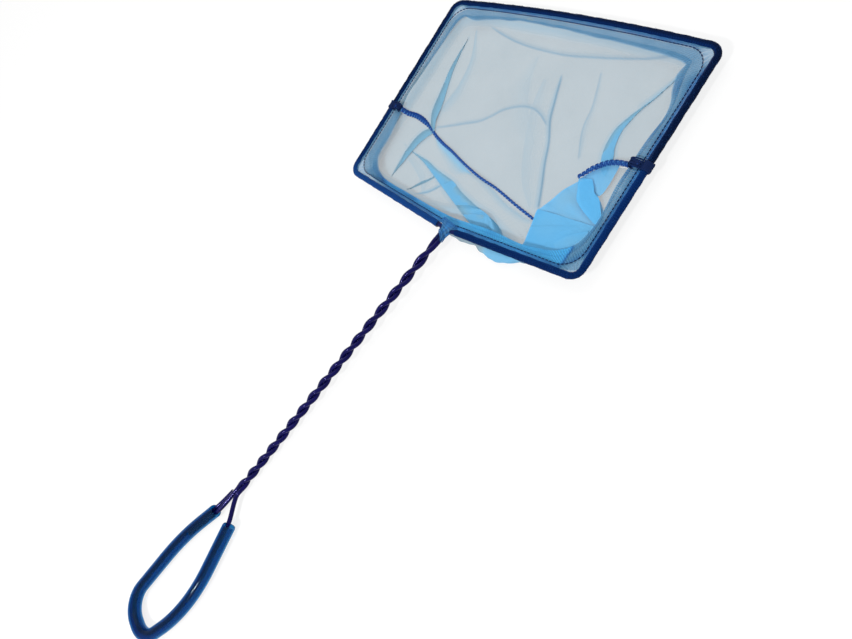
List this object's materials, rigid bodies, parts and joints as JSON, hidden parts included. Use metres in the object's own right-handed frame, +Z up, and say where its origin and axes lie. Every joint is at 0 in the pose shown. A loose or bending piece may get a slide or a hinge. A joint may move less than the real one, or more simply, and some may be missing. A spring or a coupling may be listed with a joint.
{
  "type": "aquarium fish net",
  "caption": "Aquarium fish net: a coated wire hoop with a twisted wire handle, a tube grip loop and a fine mesh bag sewn over the hoop.",
  "frame": {"origin": "centre of the bounding box, on the surface that the net lies on", "axes": "+X across the hoop, +Y from the grip loop to the far bar of the hoop, +Z up, square to the hoop"},
  "size_m": [0.2082, 0.5135, 0.0121],
  "materials": {
    "hoop_coating": "soft dark navy coating, slightly glossy",
    "handle_coating": "glossy violet-navy coating",
    "steel_core": "drawn steel wire",
    "grip_tube": "translucent blue flexible tube",
    "hem_mesh": "folded fine nylon mesh",
    "bag_mesh": "fine pale blue nylon mesh",
    "thread": "navy polyester sewing thread"
  },
  "bodies": {
    "root": {"hoop_wire": "hoop_coating", "hoop_core": "steel_core", "left_strand": "handle_coating", "left_strand_core": "steel_core", "right_strand": "handle_coating", "right_strand_core": "steel_core", "grip_wire": "handle_coating", "grip_core": "steel_core", "return_end": "handle_coating", "return_core": "steel_core", "grip_tube": "grip_tube", "far_hem": "hem_mesh", "near_left_hem": "hem_mesh", "near_right_hem": "hem_mesh", "hem_band": "hem_mesh", "hem_stitch": "thread", "net_bag": "bag_mesh", "left_seam": "thread", "right_seam": "thread", "left_tie": "thread", "right_tie": "thread"}
  },
  "joints": []
}
